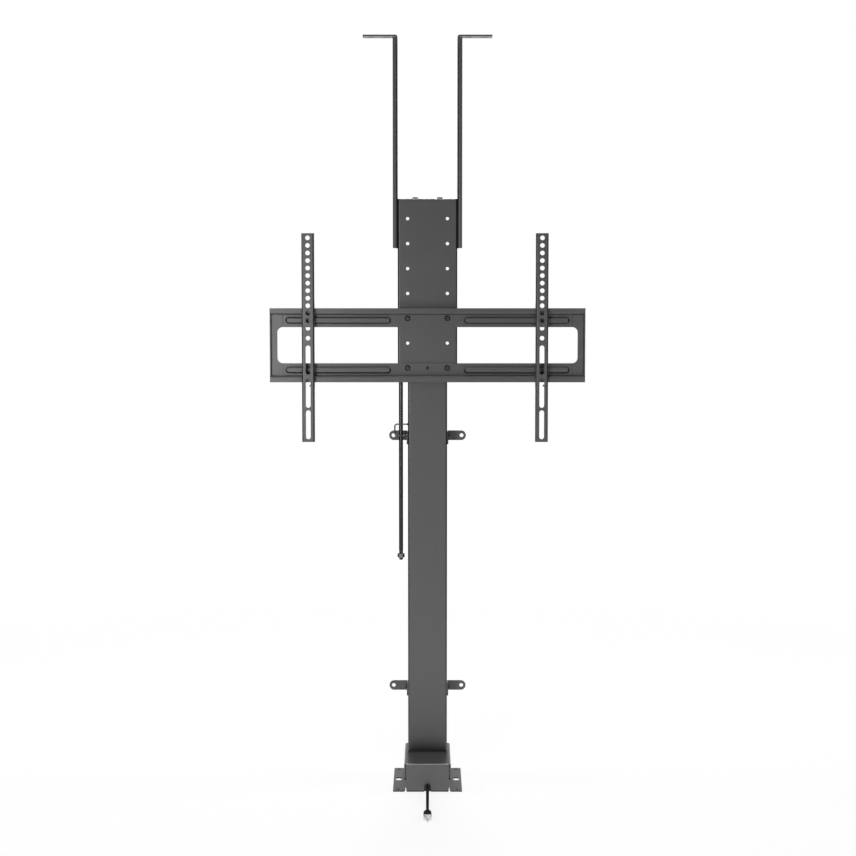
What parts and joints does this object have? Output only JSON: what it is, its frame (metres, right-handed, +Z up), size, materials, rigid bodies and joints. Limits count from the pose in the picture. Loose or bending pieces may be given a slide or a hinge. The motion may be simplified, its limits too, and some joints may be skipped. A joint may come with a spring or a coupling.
{
  "type": "tv lift mechanism",
  "caption": "Motorised TV lift: folded steel base, telescopic column with lead screw, carriage with TV bracket, sliding VESA arms and cabinet lid arms, power cord",
  "frame": {"origin": "on the floor, under the centre of the base's footprint", "axes": "+X to the right seen from the front, +Y to the back (the wall side), +Z up; the TV faces -Y"},
  "size_m": [0.635, 0.398, 1.515],
  "materials": {
    "powder_coat": "fine satin powder coat, mid grey",
    "black_steel": "black oxide",
    "bright_steel": "zinc plated",
    "cast_alloy": "die cast",
    "black_plastic": "matt",
    "white_plastic": "satin",
    "green_board": "lacquered board",
    "bronze": "machined",
    "copper_windings": "lacquered wire",
    "ferrite": "ground"
  },
  "bodies": {
    "base": {"base_housing": "powder_coat", "base_bottom_plate": "powder_coat", "bottom_plate_screws": "black_steel", "gearbox_housing": "cast_alloy", "gearbox_cover": "cast_alloy", "screw_bearings": "bright_steel", "worm_bearings": "bright_steel", "motor_can": "black_steel", "motor_end_cap": "black_plastic", "motor_magnets": "ferrite", "control_box": "black_plastic", "control_box_lid": "black_plastic", "circuit_board": "green_board", "cord_gland": "black_plastic", "cord_relief": "black_plastic", "power_cord": "black_plastic", "plug_body": "black_plastic", "plug_face": "white_plastic", "plug_pins": "bright_steel", "outer_column": "powder_coat", "column_foot_plate": "bright_steel", "column_screws": "black_steel", "top_glide_collar": "black_plastic", "wall_tab_left_upper": "powder_coat", "wall_tab_right_upper": "powder_coat", "wall_tab_left_lower": "powder_coat", "wall_tab_right_lower": "powder_coat", "wall_tab_screws": "black_steel", "rod_guide_wire": "bright_steel"},
    "lead_screw": {"lead_screw": "bright_steel", "worm_wheel": "bronze"},
    "motor_shaft": {"worm_shaft": "bright_steel", "motor_rotor": "copper_windings"},
    "carriage": {"inner_column": "powder_coat", "lower_glide_collar": "black_plastic", "nut_carrier": "bright_steel", "lift_nut": "bronze", "inner_top_plate": "bright_steel", "carriage_plate": "powder_coat", "top_bolts": "bright_steel", "top_washers": "bright_steel", "tv_bracket": "powder_coat", "bracket_bolts": "black_steel", "bracket_nuts": "bright_steel", "bracket_centre_screw": "black_steel", "left_lid_arm": "powder_coat", "right_lid_arm": "powder_coat", "lid_arm_bolts": "black_steel", "lid_arm_nuts": "bright_steel", "rod_boss": "bright_steel", "stop_rod": "black_steel", "rod_nut": "black_steel"},
    "left_arm": {"left_vesa_arm": "powder_coat"},
    "right_arm": {"right_vesa_arm": "powder_coat"}
  },
  "joints": [
    {"name": "lift_slide", "type": "slide", "parent": "base", "child": "carriage", "axis": [0, 0, 1], "range_m": [-0.34, 0.21]},
    {"name": "lead_screw_spin", "type": "hinge", "parent": "base", "child": "lead_screw", "pos_m": [0, 0.047, 0.3], "axis": [0, 0, 1], "continuous": true},
    {"name": "motor_spin", "type": "hinge", "parent": "base", "child": "motor_shaft", "pos_m": [-0.02, 0.047, 0.0305], "axis": [0, 1, 0], "continuous": true},
    {"name": "left_arm_slide", "type": "slide", "parent": "carriage", "child": "left_arm", "axis": [1, 0, 0], "range_m": [-0.0405, 0.1595]},
    {"name": "right_arm_slide", "type": "slide", "parent": "carriage", "child": "right_arm", "axis": [1, 0, 0], "range_m": [-0.1495, 0.0505]}
  ],
  "couplings": [
    {"joint": "lead_screw_spin", "follows": "lift_slide", "rad_per_m": 314.16},
    {"joint": "motor_spin", "follows": "lift_slide", "rad_per_m": -9424.8}
  ]
}
